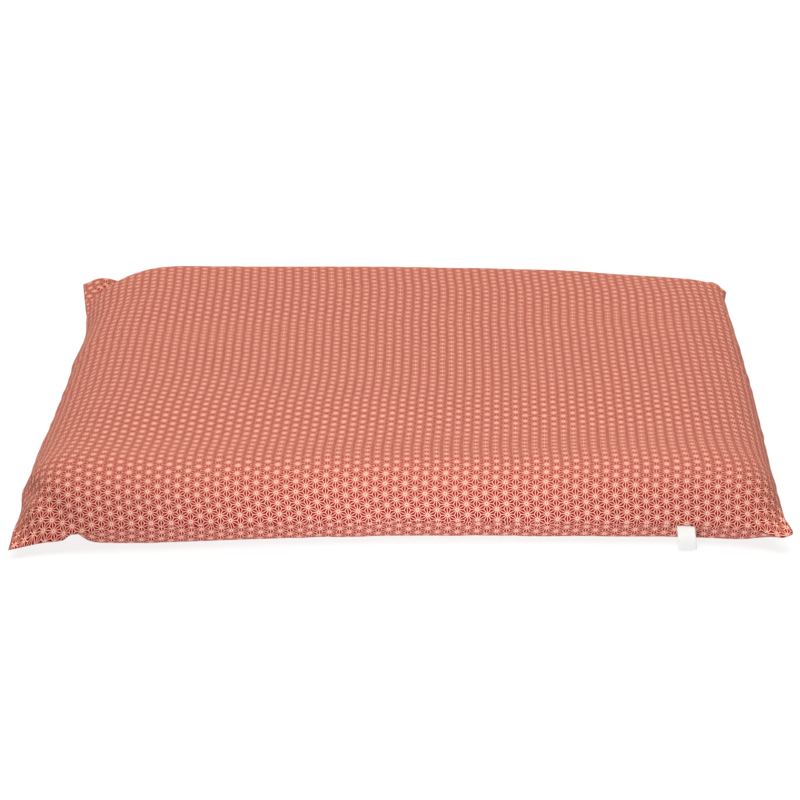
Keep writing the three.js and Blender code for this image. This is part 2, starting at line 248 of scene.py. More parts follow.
class ClothColours(bpy.types.PropertyGroup):
    """Colours of the cotton, the thread, the tape and the floor."""

    ink: bpy.props.FloatVectorProperty(
        name="Ink", description="Crimson ground of the print",
        default=(0.245, 0.003, 0.005), size=3, min=0.0, max=1.0, subtype="COLOR")
    cotton: bpy.props.FloatVectorProperty(
        name="Cotton", description="Unprinted cream of the cloth",
        default=(0.86, 0.64, 0.47), size=3, min=0.0, max=1.0, subtype="COLOR")
    stained: bpy.props.FloatVectorProperty(
        name="Stained cotton", description="Fine unprinted lines, which the ink beside them has stained",
        default=(0.88, 0.42, 0.32), size=3, min=0.0, max=1.0, subtype="COLOR")
    thread: bpy.props.FloatVectorProperty(
        name="Thread", description="Sewing thread of the seam",
        default=(0.22, 0.015, 0.02), size=3, min=0.0, max=1.0, subtype="COLOR")
    tape: bpy.props.FloatVectorProperty(
        name="Tape", description="White woven tape of the tag",
        default=(0.645, 0.63, 0.615), size=3, min=0.0, max=1.0, subtype="COLOR")
    floor: bpy.props.FloatVectorProperty(
        name="Floor", description="Plain pale floor",
        default=(0.15, 0.15, 0.15), size=3, min=0.0, max=1.0, subtype="COLOR")


class SeamSizes(bpy.types.PropertyGroup):
    """Sizes of the stitches in the seam."""

    pitch: bpy.props.FloatProperty(
        name="Stitch pitch", description="Distance from one stitch to the next",
        default=0.0032, min=0.001, unit="LENGTH", precision=4)
    stitch_length: bpy.props.FloatProperty(
        name="Stitch length", description="Length of one stitch",
        default=0.0026, min=0.001, unit="LENGTH", precision=4)
    thread_radius: bpy.props.FloatProperty(
        name="Thread radius", description="Radius of the sewing thread",
        default=0.00022, min=0.0001, unit="LENGTH", precision=5)
    slant: bpy.props.FloatProperty(
        name="Slant", description="Most that a stitch turns from the seam line",
        default=0.12, min=0.0, subtype="ANGLE")


class TagSizes(bpy.types.PropertyGroup):
    """Sizes of the folded tag."""

    tape_width: bpy.props.FloatProperty(
        name="Tape width", description="Width of the tape",
        default=0.0208, min=0.005, unit="LENGTH", precision=4)
    hang: bpy.props.FloatProperty(
        name="Hang", description="Length from the seam to the fold",
        default=0.028, min=0.005, unit="LENGTH")
    tape_thickness: bpy.props.FloatProperty(
        name="Tape thickness", description="Thickness of one layer",
        default=0.00036, min=0.0001, unit="LENGTH", precision=5)


class StageSettings(bpy.types.PropertyGroup):
    """Camera place and light levels."""

    camera_place: bpy.props.FloatVectorProperty(
        name="Camera place", description="Where the camera stands",
        default=(-0.0020, -2.9666, 1.4226), size=3, subtype="TRANSLATION")
    camera_pitch: bpy.props.FloatProperty(
        name="Camera pitch", description="How far the camera looks down",
        default=math.radians(25.0), subtype="ANGLE")
    lens: bpy.props.FloatProperty(
        name="Lens", description="Focal length in millimetres on a 36 mm sensor", default=115.8, min=10.0)
    sky: bpy.props.FloatProperty(
        name="Sky", description="Level of the even light from all round", default=0.15, min=0.0)
    sky_colour: bpy.props.FloatVectorProperty(
        name="Sky colour", description="Colour of the even light",
        default=(1.0, 0.95, 0.90), size=3, min=0.0, max=1.0, subtype="COLOR")
    floor_glow: bpy.props.FloatProperty(
        name="Floor glow", description="Light of the pale floor itself", default=0.82, min=0.0)
    top: bpy.props.FloatProperty(
        name="Top light", description="Strength of the soft light overhead", default=4.06, min=0.0)
    top_colour: bpy.props.FloatVectorProperty(
        name="Top colour", description="Colour of the soft light overhead",
        default=(1.0, 0.985, 0.91), size=3, min=0.0, max=1.0, subtype="COLOR")
    top_height: bpy.props.FloatProperty(
        name="Top height", description="Height angle of the soft light overhead, past 90 from behind",
        default=math.radians(101.0), subtype="ANGLE")
    top_softness: bpy.props.FloatProperty(
        name="Top softness", description="Angle that the light overhead covers",
        default=math.radians(60.0), subtype="ANGLE")
    top_side: bpy.props.FloatProperty(
        name="Top side", description="How far the soft light overhead stands to the right",
        default=math.radians(8.0), subtype="ANGLE")
    front: bpy.props.FloatProperty(
        name="Front light", description="Power in watts of the low panel light before the mat",
        default=3.75, min=0.0)
    front_colour: bpy.props.FloatVectorProperty(
        name="Front colour", description="Colour of the low panel light",
        default=(0.86, 0.92, 1.0), size=3, min=0.0, max=1.0, subtype="COLOR")
    front_place: bpy.props.FloatVectorProperty(
        name="Front place", description="Where the low panel light stands",
        default=(0.05, -0.88, 0.17), size=3, subtype="TRANSLATION")
    front_pitch: bpy.props.FloatProperty(
        name="Front pitch", description="How far the low panel light looks down",
        default=math.radians(12.0), subtype="ANGLE")
    front_size: bpy.props.FloatProperty(
        name="Front size", description="Side of the square low panel light",
        default=0.24, min=0.05, unit="LENGTH")


# Curves and lines


def smooth_step(share):
    """A smooth rise from 0 to 1 while the share runs from 0 to 1."""
    w = np.clip(share, 0, 1)
    return w * w * (3 - 2 * w)


def hump(value, middle, reach):
    """A smooth hump of height 1 at the middle, about a third as high one reach away."""
    return np.exp(-(((value - middle) / reach) ** 2))


def smooth_noise(places, seed, waves):
    """A smooth repeatable wander between -1 and 1 along a line, for places from 0 to 1."""
    values = np.random.default_rng(seed).uniform(-1, 1, waves + 3)
    at = np.clip(places, 0, 1) * waves
    step = np.floor(at).astype(int)
    w = smooth_step(at - step)
    return values[step] * (1 - w) + values[step + 1] * w


def unit(vectors):
    """The vectors at length 1."""
    return vectors / np.maximum(np.linalg.norm(vectors, axis=-1, keepdims=True), TINY)


def seam_line(rows, t):
    """Places on the smooth line through the rows, for t from 0 to 1."""
    points = np.array(rows, float)
    spans = len(points) - 1
    step = np.minimum(np.floor(t * spans).astype(int), spans - 1)
    w = (t * spans - step)[:, None]
    ends = np.vstack([2 * points[0] - points[1], points, 2 * points[-1] - points[-2]])
    before, here, there, after = (ends[step + k] for k in range(4))
    leave, arrive = (there - before) / 2, (after - here) / 2
    cube = (2 * here - 2 * there + leave + arrive) * w ** 3
    square = (-3 * here + 3 * there - 2 * leave - arrive) * w ** 2
    return cube + square + leave * w + here


def seam_places(rows, axis, share):
    """Places where the line has run the given shares of its width (axis 0) or depth (axis 1)."""
    start, end = rows[0][axis], rows[-1][axis]
    wanted = start + (end - start) * share
    low, high = np.zeros_like(share), np.ones_like(share)
    for _ in range(SEARCH_STEPS):
        middle = (low + high) / 2
        short = seam_line(rows, middle)[:, axis] < wanted
        low, high = np.where(short, middle, low), np.where(short, high, middle)
    return seam_line(rows, (low + high) / 2)


def seam_heights(front, back, left, right, u, v):
    """Heights of a sheet that spans the four seams, at the shares u across and v deep."""
    corners = (1 - v) * ((1 - u) * FRONT_SEAM[0][2] + u * FRONT_SEAM[-1][2])
    corners += v * ((1 - u) * BACK_SEAM[0][2] + u * BACK_SEAM[-1][2])
    spanned = (1 - v) * front[:, None, 2] + v * back[:, None, 2]
    return spanned + (1 - u) * left[None, :, 2] + u * right[None, :, 2] - corners


def cloth_lines(half, widest):
    """Lines of the cloth from one edge to the other, close together beside the edges."""
    steps, reach = [], 0.0
    step = EDGE_STEP
    while step < widest and reach + step < half:
        steps.append(step)
        reach += step
        step *= EDGE_GROWTH
    middle = max(2, round(2 * (half - reach) / widest))
    inner = np.linspace(-half + reach, half - reach, middle + 1)
    edge = np.concatenate([[0], np.cumsum(steps)])[:-1]
    return np.concatenate([-half + edge, inner, (half - edge)[::-1]])


# How the cover is filled


def wall_rise(wall, distance):
    """Height that a wall has gained at each distance from the seam."""
    lean, run, roll, ease = wall
    far = np.minimum(distance, run + roll)
    at = far[:, None] * (np.arange(WALL_STEPS) + 0.5) / WALL_STEPS
    levelled = np.clip((at - run) / roll, 0, 1)
    return np.sin(math.radians(lean) * (1 - levelled) ** ease).sum(1) * far / WALL_STEPS


def rise_share(wall, height, distance):
    """Share of its full height that a panel has at each distance from a side."""
    full = wall_rise(wall, np.array([wall[1] + wall[2]], float))[0]
    return wall_rise(wall, distance * full / height) / full


def side_fill(side, walls, height, distance, along):
    """Share of its full height that a side gives a panel: one row for each place along the side."""
    first, second = (rise_share(wall, height, distance) for wall in walls[side])
    start, end = WALL_TURN[side]
    turn = smooth_step((along - start) / (end - start))
    return first + (second - first) * turn[:, None]


def plan_shares(lines, heights):
    """Share of the way between two seams that each row of cloth has covered in plan, at its lines."""
    step, climb = np.diff(lines), np.diff(heights, axis=1)
    flat = np.sqrt(np.maximum(step ** 2 - climb ** 2, (LEAST_PLAN * step) ** 2))
    covered = np.cumsum(np.pad(flat, ((0, 0), (1, 0))), axis=1)
    return covered / covered[:, -1:]


class Cover:
    """The two panels of the cover as they lie, in millimetres. Its lines x and y are on the flat cloth."""

    def __init__(self, sizes):
        self.width = sizes.panel_width / MM
        self.depth = sizes.panel_depth / MM
        self.height = sizes.height / MM
        self.groove = sizes.seam_groove / MM
        self.pucker = sizes.pucker / MM
        self.x = cloth_lines(self.width / 2, sizes.cloth_step / MM)
        self.y = cloth_lines(self.depth / 2, sizes.cloth_step / MM)
        self.u = (self.x + self.width / 2) / self.width
        self.v = (self.y + self.depth / 2) / self.depth
        self.x2, self.y2 = np.meshgrid(self.x, self.y, indexing="ij")
        self.inward = {
            "front": self.depth / 2 + self.y2, "back": self.depth / 2 - self.y2,
            "left": self.width / 2 + self.x2, "right": self.width / 2 - self.x2,
        }

    def seams(self):
        """The seam's front, back, left and right, with its small waves."""
        left = [FRONT_SEAM[0]] + LEFT_SEAM + [BACK_SEAM[0]]
        right = [FRONT_SEAM[-1]] + RIGHT_SEAM + [BACK_SEAM[-1]]
        sides = ((FRONT_SEAM, 0, self.u), (BACK_SEAM, 0, self.u), (left, 1, self.v), (right, 1, self.v))
        lines = []
        for seed, (rows, axis, share) in enumerate(sides, SWAY_SEED):
            line = seam_places(rows, axis, share)
            sway = SEAM_SWAY * smooth_noise(share, seed, SEAM_WAVES)
            line[:, 1 - axis] += sway * np.sin(math.pi * share) ** 0.5
            lines.append(line)
        return lines

    def corner_fill(self, fill_x, fill_y, is_top):
        """Share of its full height that a panel has where its sides meet, with its slack ears."""
        slack, sharp = np.ones_like(fill_x), np.full_like(fill_x, CORNER_FULLNESS)
        for side_x, side_y, above, below, fold in EARS:
            inward_x, inward_y = self.width / 2 - side_x * self.x2, self.depth / 2 - side_y * self.y2
            ear_x, ear_y = above if is_top else below
            slack *= 1 - np.exp(-((inward_x / ear_x) ** 2) - (inward_y / ear_y) ** 2)
            sharp += (fold - CORNER_FULLNESS) * hump(np.hypot(inward_x, inward_y), 0, FOLD_REACH)
        summed = np.maximum(fill_x, TINY) ** -sharp + np.maximum(fill_y, TINY) ** -sharp - 1
        return np.where(np.minimum(fill_x, fill_y) <= 0, 0, summed ** (-1 / sharp)) * slack

    def seam_arch(self):
        """How far each place belongs to the arch of the front seam, from 0 to 1."""
        beside = self.x2 - SEAM_ARCH["x"]
        beside = beside / np.where(beside < 0, SEAM_ARCH["left"], SEAM_ARCH["right"])
        inside = self.inward["front"] / SEAM_ARCH["inward"]
        return np.exp(-np.abs(beside) ** 3 - inside ** 2)

    def top_dip(self, fill):
        """How far the top is let down by its hollows and by the crease at the raised ear."""
        dip = np.zeros_like(fill)
        for at_x, at_y, slope, depth, length, width in HOLLOWS:
            along = (self.x2 - at_x) / length
            across = (self.y2 - at_y - slope * (self.x2 - at_x)) / width
            dip += depth * np.exp(-(along ** 2) - across ** 2) * fill ** 3
        from_left, from_back = self.inward["left"], self.inward["back"]
        crease = hump(np.hypot(from_left, from_back), EAR_CREASE["distance"], EAR_CREASE["width"])
        turn = np.abs(np.arctan2(from_left, from_back) / (math.pi / 4) - 1)
        return dip + EAR_CREASE["depth"] * crease * np.maximum(0, 1 - turn)

    def places(self, is_top):
        """Places of one panel where the cloth's lines cross."""
        walls = TOP_WALLS if is_top else UNDER_WALLS
        reach = {side: self.height - high if is_top else high for side, high in SEAM_HEIGHT.items()}
        runs = {
            "left": (self.width / 2 + self.x, self.v), "right": (self.width / 2 - self.x, self.v),
            "front": (self.depth / 2 + self.y, self.u), "back": (self.depth / 2 - self.y, self.u),
        }
        fills = {side: side_fill(side, walls, reach[side], *run) for side, run in runs.items()}
        fill_x = fills["left"] * fills["right"]
        fill_y = fills["front"] * fills["back"]
        plan_x = plan_shares(self.x, fill_x * reach["left"]).T
        plan_y = plan_shares(self.y, fill_y * reach["front"])
        fill_x = fill_x.T
        u, v = np.meshgrid(self.u, self.v, indexing="ij")
        across = u + (plan_x - u) * fill_y
        deep = v + (plan_y - v) * (1 - (1 - fill_x) ** 2)
        fill = self.corner_fill(fill_x, fill_y, is_top)
        front, back, left, right = self.seams()
        place_x = left[None, :, 0] + (right[None, :, 0] - left[None, :, 0]) * across
        place_y = front[:, None, 1] + (back[:, None, 1] - front[:, None, 1]) * deep
        seam_z = seam_heights(front, back, left, right, u, v)
        if is_top:
            z = seam_z + (self.height - seam_z) * fill - self.top_dip(fill)
        else:
            z = seam_z * (1 - fill * (1 - SEAM_ARCH["tuck"] * self.seam_arch()))
        return np.stack([place_x - SEAM_MIDDLE[0], place_y - SEAM_MIDDLE[1], z], -1)

    def detailed(self, places, is_top):
        """The places of one panel with the swell beside the seam, its small gathers and the ear's valley."""
        normal = unit(np.cross(np.gradient(places, axis=0), np.gradient(places, axis=1)))
        if not is_top:
            normal = -normal
        nearest = np.minimum.reduce(list(self.inward.values()))
        swell = nearest / SWELL_REACH
        offset = self.groove * swell * np.exp(1 - swell)
        along_x, along_y = self.x2 / self.width + 0.5, self.y2 / self.depth + 0.5
        for side, (seed, waves) in GATHERS.items():
            along = along_x if side in ("front", "back") else along_y
            wander = smooth_noise(along, seed if is_top else seed + UNDER_SEED, waves)
            change = smooth_noise(along, seed + GATHER_CHANGE["seed"], GATHER_CHANGE["waves"])
            depth = self.pucker * (GATHER_FORM["least"] + GATHER_FORM["more"] * change) * wander
            begun = 1 - np.exp(-self.inward[side] / GATHER_FORM["rise"])
            offset += depth * (begun * np.exp(-self.inward[side] / GATHER_FORM["reach"]))
        by_side, by_front = EAR_VALLEY["side"], EAR_VALLEY["front"]
        across = by_side * by_front / math.hypot(by_side, by_front)
        inward = (self.inward["left"] / by_front + self.inward["front"] / by_side - 1) * across
        valley = EAR_VALLEY["depth"] * hump(inward, 0, EAR_VALLEY["width"])
        share = 1.0 if is_top else EAR_VALLEY["under"]
        offset -= valley * (1 - np.exp(-nearest / EAR_VALLEY["rise"])) * share
        return places + normal * offset[..., None]

    def lengths(self, places):
        """Lengths over the surface from the panel's middle lines, across and deep, at each place."""
        across = np.linalg.norm(np.diff(places, axis=0), axis=-1)
        deep = np.linalg.norm(np.diff(places, axis=1), axis=-1)
        u, v = np.zeros(places.shape[:2]), np.zeros(places.shape[:2])
        u[1:] = np.cumsum(across, 0)
        v[:, 1:] = np.cumsum(deep, 1)
        x, y = self.x, self.y
        i, j = np.searchsorted(x, 0), np.searchsorted(y, 0)
        share_x, share_y = -x[i - 1] / (x[i] - x[i - 1]), -y[j - 1] / (y[j] - y[j - 1])
        u -= u[i - 1] + (u[i] - u[i - 1]) * share_x
        v -= (v[:, j - 1] + (v[:, j] - v[:, j - 1]) * share_y)[:, None]
        return u, v

    def prints(self, places, is_top):
        """Where each place of a panel lies in its print, in millimetres."""
        u, v = self.lengths(places)
        if not is_top:
            return np.stack([u - UNDER_STAR[0], v - UNDER_STAR[1]], -1)
        drift = np.zeros_like(u)
        for at_u, at_v, shift, reach_u, reach_v in PRINT_DRIFT:
            drift += shift * np.exp(-(((u - at_u) / reach_u) ** 2) - ((v - at_v) / reach_v) ** 2)
        share = np.clip((u - GRAIN_SLANT["start"]) / GRAIN_SLANT["length"], 0, GRAIN_SLANT["most"])
        climb = GRAIN_SLANT["climb"] * share ** GRAIN_SLANT["power"]
        dip = GRAIN_DIP["depth"] * hump(u, GRAIN_DIP["at"], GRAIN_DIP["width"])
        lift = GRAIN_LIFT["least"] + GRAIN_LIFT["more"] * hump(u, GRAIN_LIFT["at"], GRAIN_LIFT["reach"])
        (left, left_reach), (right, right_reach) = GRAIN_LIFT["left"], GRAIN_LIFT["right"]
        lift = lift * smooth_step((u - left) / left_reach) * smooth_step((right - u) / right_reach)
        begun = smooth_step((v - GRAIN_SLANT["from"]) / (GRAIN_SLANT["to"] - GRAIN_SLANT["from"]))
        slant = (climb - dip + lift) * begun
        return np.stack([u + drift - TOP_STAR[0], v - slant - TOP_STAR[1]], -1)


# Pieces of mesh


def new_mesh_object(name, points, faces):
    """A mesh object from places in metres."""
    mesh = bpy.data.meshes.new(name)
    mesh.from_pydata(np.asarray(points, float).tolist(), [], faces)
    mesh.update()
    return place_object(name, mesh)


def place_object(name, data, place=(0.0, 0.0, 0.0), turn=(0.0, 0.0, 0.0)):
    """A new object in the scene for a mesh, a lamp or a camera."""
    piece = bpy.data.objects.new(name, data)
    piece.location = place
    piece.rotation_euler = turn
    bpy.context.scene.collection.objects.link(piece)
    return piece


def shade_smooth(piece):
    """Smooth shading over the whole piece."""
    piece.data.polygons.foreach_set("use_smooth", [True] * len(piece.data.polygons))


def sew_panels(panels):
    """One closed mesh from the two panels, which share their seam line, and the corners of its faces."""
    columns, rows = panels[0].shape[:2]
    top = np.arange(columns * rows).reshape(columns, rows)
    under = top.copy()
    inner = np.zeros((columns, rows), bool)
    inner[1:-1, 1:-1] = True
    under[inner] = columns * rows + np.arange(inner.sum())
    points = np.vstack([panels[0].reshape(-1, 3), panels[1][inner]]) * MM
    corners = [np.s_[:-1, :-1], np.s_[1:, :-1], np.s_[1:, 1:], np.s_[:-1, 1:]]
    top_faces = np.stack([top[c].ravel() for c in corners], -1)
    under_faces = np.stack([under[c].ravel() for c in reversed(corners)], -1)
    return points, np.vstack([top_faces, under_faces]), corners


def map_panels(piece, prints, corners):
    """Writes each corner's place in the print, and a map of both panels side by side without overlap."""
    top = np.stack([prints[0][c].reshape(-1, 2) for c in corners], 1).reshape(-1, 2)
    under = np.stack([prints[1][c].reshape(-1, 2) for c in reversed(corners)], 1).reshape(-1, 2)
    cloth = piece.data.uv_layers.new(name="cloth")
    cloth.uv.foreach_set("vector", (np.vstack([top, under]) * MM).astype(np.float32).ravel())
    spread = [part - part.min(0) for part in (top, under)]
    spread[1][:, 1] += spread[0][:, 1].max() + BAKE_GAP
    both = np.vstack(spread)
    bake = piece.data.uv_layers.new(name="OFBake")
    bake.uv.foreach_set("vector", (both / (both.max() * BAKE_MARGIN)).astype(np.float32).ravel())


def seam_ring(pad, cover):
    """The seam line round the mat, in order, just outside the cloth's groove."""
    columns, rows = len(cover.x), len(cover.y)
    number = np.arange(columns * rows).reshape(columns, rows)
    ring = np.concatenate([number[:-1, 0], number[-1, :-1], number[:0:-1, -1], number[0, :0:-1]])
    co = np.zeros(len(pad.data.vertices) * 3)
    pad.data.vertices.foreach_get("co", co)
    line = co.reshape(-1, 3)[ring]
    ahead = np.roll(line, -1, 0) - np.roll(line, 1, 0)
    outward = unit(np.stack([ahead[:, 1], -ahead[:, 0], np.zeros(len(line))], -1))
    return line + outward * STITCH_OUT


# Nodes


def put(tree, kind, **settings):
    """A new node with its settings."""
    node = tree.nodes.new(kind)
    for name, value in settings.items():
        setattr(node, name, value)
    return node


def feed(tree, socket, value):
    """Links a socket, or sets a plain value."""
    if isinstance(value, bpy.types.NodeSocket):
        tree.links.new(value, socket)
    else:
        socket.default_value = value


def wire(tree, kind, inputs, **settings):
    """The outputs of a new node, with its inputs fed by name or number."""
    node = put(tree, kind, **settings)
    for name, value in inputs.items():
        feed(tree, node.inputs[name], value)
    return node.outputs


def calc(tree, operation, *values):
    """The result of one math node."""
    return wire(tree, "ShaderNodeMath", dict(enumerate(values)), operation=operation)[0]


def ramp(tree, value, low, high):
    """Smooth step of a value from 0 at low to 1 at high."""
    inputs = {"Value": value, "From Min": low, "From Max": high}
    return wire(tree, "ShaderNodeMapRange", inputs, interpolation_type="SMOOTHSTEP")["Result"]


def mix_colours(tree, share, first, second, blend="MIX"):
    """The colour between two colours, whose sockets are numbers 6 and 7 of the mix node."""
    inputs = {"Factor": share, 6: first, 7: second}
    return wire(tree, "ShaderNodeMix", inputs, data_type="RGBA", blend_type=blend)[2]


def grey(tree, value):
    """A grey colour of a value."""
    return wire(tree, "ShaderNodeCombineColor", dict.fromkeys(range(3), value))[0]


def tint(colour, factor=1.0):
    """A colour made darker or lighter, with its alpha."""
    return tuple(min(1.0, value * factor) for value in colour) + (1.0,)


def noise(tree, vector, scale, detail=2.0):
    """Noise value of a vector at a scale in repeats for each metre."""
    inputs = {"Vector": vector, "Scale": scale, "Detail": detail}
    return wire(tree, "ShaderNodeTexNoise", inputs)["Fac"]


def bump(tree, height, distance, **below):
    """The normal of a height, on top of another Normal where one is given."""
    inputs = {"Strength": 1.0, "Distance": distance, "Height": height, **below}
    return wire(tree, "ShaderNodeBump", inputs)["Normal"]


def cloth_place(tree):
    """The place on the flat cloth or tape, in metres."""
    return wire(tree, "ShaderNodeUVMap", {}, uv_map="cloth")["UV"]


def object_place(tree):
    """The place in the object, in metres."""
    return wire(tree, "ShaderNodeTexCoord", {})["Object"]


def new_group(name, inputs, outputs, kind="ShaderNodeTree"):
    """A node group with named inputs (name, kind, default) and outputs (name, kind)."""
    group = bpy.data.node_groups.new(name, kind)
    for label, socket_kind, default in inputs:
        socket = group.interface.new_socket(name=label, in_out="INPUT", socket_type=socket_kind)
        if default is not None:
            socket.default_value = default
    for label, socket_kind in outputs:
        group.interface.new_socket(name=label, in_out="OUTPUT", socket_type=socket_kind)
    start, end = put(group, "NodeGroupInput"), put(group, "NodeGroupOutput")
    return group, start.outputs, end.inputs


def place_group(tree, group, **values):
    """The outputs of a group placed in a material with its values."""
    inputs = {name.replace("_", " "): value for name, value in values.items()}
    return wire(tree, "ShaderNodeGroup", inputs, node_tree=group)


def hemp_leaf_group():
    """The hemp-leaf figure: stars on a triangular net, with a line on each edge and each bisector."""
    group, given, result = new_group(
        "hemp leaf figure",
        [
            ("Vector", "NodeSocketVector", None),
            ("Column Spacing", "NodeSocketFloat", 0.0115),
            ("Star Spacing", "NodeSocketFloat", 0.0127),
            ("Line Width", "NodeSocketFloat", 0.1),
            ("Disc Radius", "NodeSocketFloat", 0.17),
            ("Dot Radius", "NodeSocketFloat", 0.045),
            ("Softness", "NodeSocketFloat", 0.02),
        ],
        [("Bare", "NodeSocketFloat"), ("Disc", "NodeSocketFloat")],
    )

    def do(operation, *values):
        return calc(group, operation, *values)

    def within(distance, limit):
        low, high = do("SUBTRACT", limit, given["Softness"]), do("ADD", limit, given["Softness"])
        return do("SUBTRACT", 1.0, ramp(group, distance, low, high))

    split = wire(group, "ShaderNodeSeparateXYZ", {0: given["Vector"]})
    column = do("DIVIDE", split["X"], given["Column Spacing"])
    star = do("DIVIDE", split["Y"], given["Star Spacing"])
    half_column = do("MULTIPLY", column, 0.5)
    falling = do("MULTIPLY", do("ADD", star, half_column), -1.0)
    parts = [do("FRACT", count) for count in (column, do("SUBTRACT", star, half_column), falling)]
    whole = do("ADD", do("ADD", parts[0], parts[1]), parts[2])
    turned = do("GREATER_THAN", whole, 1.5)
    shares = []
    for part in parts:
        other = do("SUBTRACT", 1.0, part)
        change = do("MULTIPLY", do("SUBTRACT", other, part), turned)
        shares.append(do("ADD", part, change))
    least = do("MINIMUM", do("MINIMUM", shares[0], shares[1]), shares[2])
    most = do("MAXIMUM", do("MAXIMUM", shares[0], shares[1]), shares[2])
    between = do("SUBTRACT", do("SUBTRACT", 1.0, least), most)
    net_height = math.sqrt(3) / 2
    to_edge = do("MULTIPLY", least, net_height)
    to_bisector = do("MULTIPLY", do("SUBTRACT", between, least), 0.5)
    to_line = do("MINIMUM", to_edge, to_bisector)
    squares = do("ADD", do("POWER", least, 2.0), do("POWER", between, 2.0))
    to_star = do("SQRT", do("ADD", squares, do("MULTIPLY", least, between)))
    line = within(to_line, do("MULTIPLY", given["Line Width"], 0.5))
    disc = within(to_star, given["Disc Radius"])
    dot = within(to_star, given["Dot Radius"])
    bare = do("MAXIMUM", line, disc)
    feed(group, result["Bare"], do("MULTIPLY", bare, do("SUBTRACT", 1.0, dot)))
    feed(group, result["Disc"], disc)
    return group


def weave_group():
    """A plain weave: threads that pass over and under each other."""
    group, given, result = new_group(
        "plain weave",
        [("Vector", "NodeSocketVector", None), ("Thread Spacing", "NodeSocketFloat", 0.0005)],
        [("Height", "NodeSocketFloat"), ("Thread Tone", "NodeSocketFloat")],
    )

    def do(operation, *values):
        return calc(group, operation, *values)

    split = wire(group, "ShaderNodeSeparateXYZ", {0: given["Vector"]})
    rounds, counts = [], []
    for axis in ("X", "Y"):
        count = do("DIVIDE", split[axis], given["Thread Spacing"])
        counts.append(do("FLOOR", count))
        rounds.append(do("ABSOLUTE", do("SINE", do("MULTIPLY", count, math.pi))))
    parity = do("FLOORED_MODULO", do("ADD", counts[0], counts[1]), 2.0)
    turned = do("SUBTRACT", 1.0, parity)
    over = do("ADD", do("MULTIPLY", rounds[0], parity), do("MULTIPLY", rounds[1], turned))
    feed(group, result["Height"], do("MULTIPLY", over, do("MAXIMUM", rounds[0], rounds[1])))
    ends = {0: do("MULTIPLY", counts[0], parity), 1: do("MULTIPLY", counts[1], turned)}
    thread = wire(group, "ShaderNodeCombineXYZ", ends)[0]
    chance = wire(group, "ShaderNodeTexWhiteNoise", {"Vector": thread}, noise_dimensions="3D")
    feed(group, result["Thread Tone"], chance["Value"])
    return group


# Materials


def start_material(name):
    """A new node material with its tree and its Principled shader's inputs."""
    material = bpy.data.materials.new(name)
    material.use_nodes = True
    tree = material.node_tree
    return material, tree, tree.nodes["Principled BSDF"].inputs


def printed_cotton(colours, figure, weave, sizes):
    """Cream cotton sheeting printed with the hemp-leaf figure in crimson, with painted shade in the weave's
    valleys.
    """
    material, tree, shader = start_material("printed cotton")
    look = COTTON_LOOK
    cloth = cloth_place(tree)
    waver = wire(tree, "ShaderNodeTexNoise", {"Vector": cloth, "Scale": look["waver_scale"]})["Color"]
    shift = wire(tree, "ShaderNodeVectorMath", {0: waver, "Scale": look["waver"]}, operation="SCALE")
    moved = wire(tree, "ShaderNodeVectorMath", {0: cloth, 1: shift["Vector"]}, operation="ADD")
    print_out = place_group(
        tree, figure, Vector=moved["Vector"], Column_Spacing=sizes.column_spacing,
        Star_Spacing=sizes.star_spacing, Line_Width=sizes.line_width, Disc_Radius=sizes.disc_radius,
        Dot_Radius=sizes.dot_radius, Softness=look["print_edge"])
    weave_out = place_group(tree, weave, Vector=cloth, Thread_Spacing=look["thread"])
    dark, light = tint(colours.ink, look["ink_dark"]), tint(colours.ink, look["ink_light"])
    ink = mix_colours(tree, noise(tree, cloth, look["ink_scale"], detail=3.0), dark, light)
    dull = tint(colours.cotton, look["cotton_dark"])
    cotton = mix_colours(tree, weave_out["Thread Tone"], dull, tint(colours.cotton))
    bare = mix_colours(tree, print_out["Disc"], tint(colours.stained), cotton)
    printed = mix_colours(tree, print_out["Bare"], ink, bare)
    # Painted shade: the base colour is darkened in the low parts of the weave, where shade falls between the
    # threads
    shade = calc(tree, "MULTIPLY_ADD", weave_out["Height"], 1 - look["valley"], look["valley"])
    feed(tree, shader["Base Color"], mix_colours(tree, 1.0, printed, grey(tree, shade), "MULTIPLY"))
    rough = calc(tree, "MULTIPLY_ADD", print_out["Bare"], look["bare_roughness"], look["roughness"])
    feed(tree, shader["Roughness"], rough)
    shader["Specular IOR Level"].default_value = look["shine"]
    crumple = bump(tree, noise(tree, cloth, look["crumple_scale"], detail=3.0), look["crumple_height"])
    feed(tree, shader["Normal"], bump(tree, weave_out["Height"], look["thread_height"], Normal=crumple))
    return material


def sewing_thread(colours):
    """Twisted cotton thread."""
    material, tree, shader = start_material("sewing thread")
    look = THREAD_LOOK
    twist = noise(tree, object_place(tree), look["twist_scale"])
    dark, light = tint(colours.thread, look["dark"]), tint(colours.thread, look["light"])
    feed(tree, shader["Base Color"], mix_colours(tree, twist, dark, light))
    shader["Roughness"].default_value = look["roughness"]
    feed(tree, shader["Normal"], bump(tree, twist, look["twist_height"]))
    return material


def woven_tape(colours, weave):
    """Smooth white tape with a fine weave."""
    material, tree, shader = start_material("woven tape")
    look = TAPE_LOOK
    weave_out = place_group(tree, weave, Vector=cloth_place(tree), Thread_Spacing=look["thread"])
    dull = tint(colours.tape, look["dark"])
    feed(tree, shader["Base Color"], mix_colours(tree, weave_out["Thread Tone"], dull, tint(colours.tape)))
    rough = calc(tree, "MULTIPLY_ADD", weave_out["Height"], look["smoother"], look["roughness"])
    feed(tree, shader["Roughness"], rough)
    feed(tree, shader["Normal"], bump(tree, weave_out["Height"], look["thread_height"]))
    return material


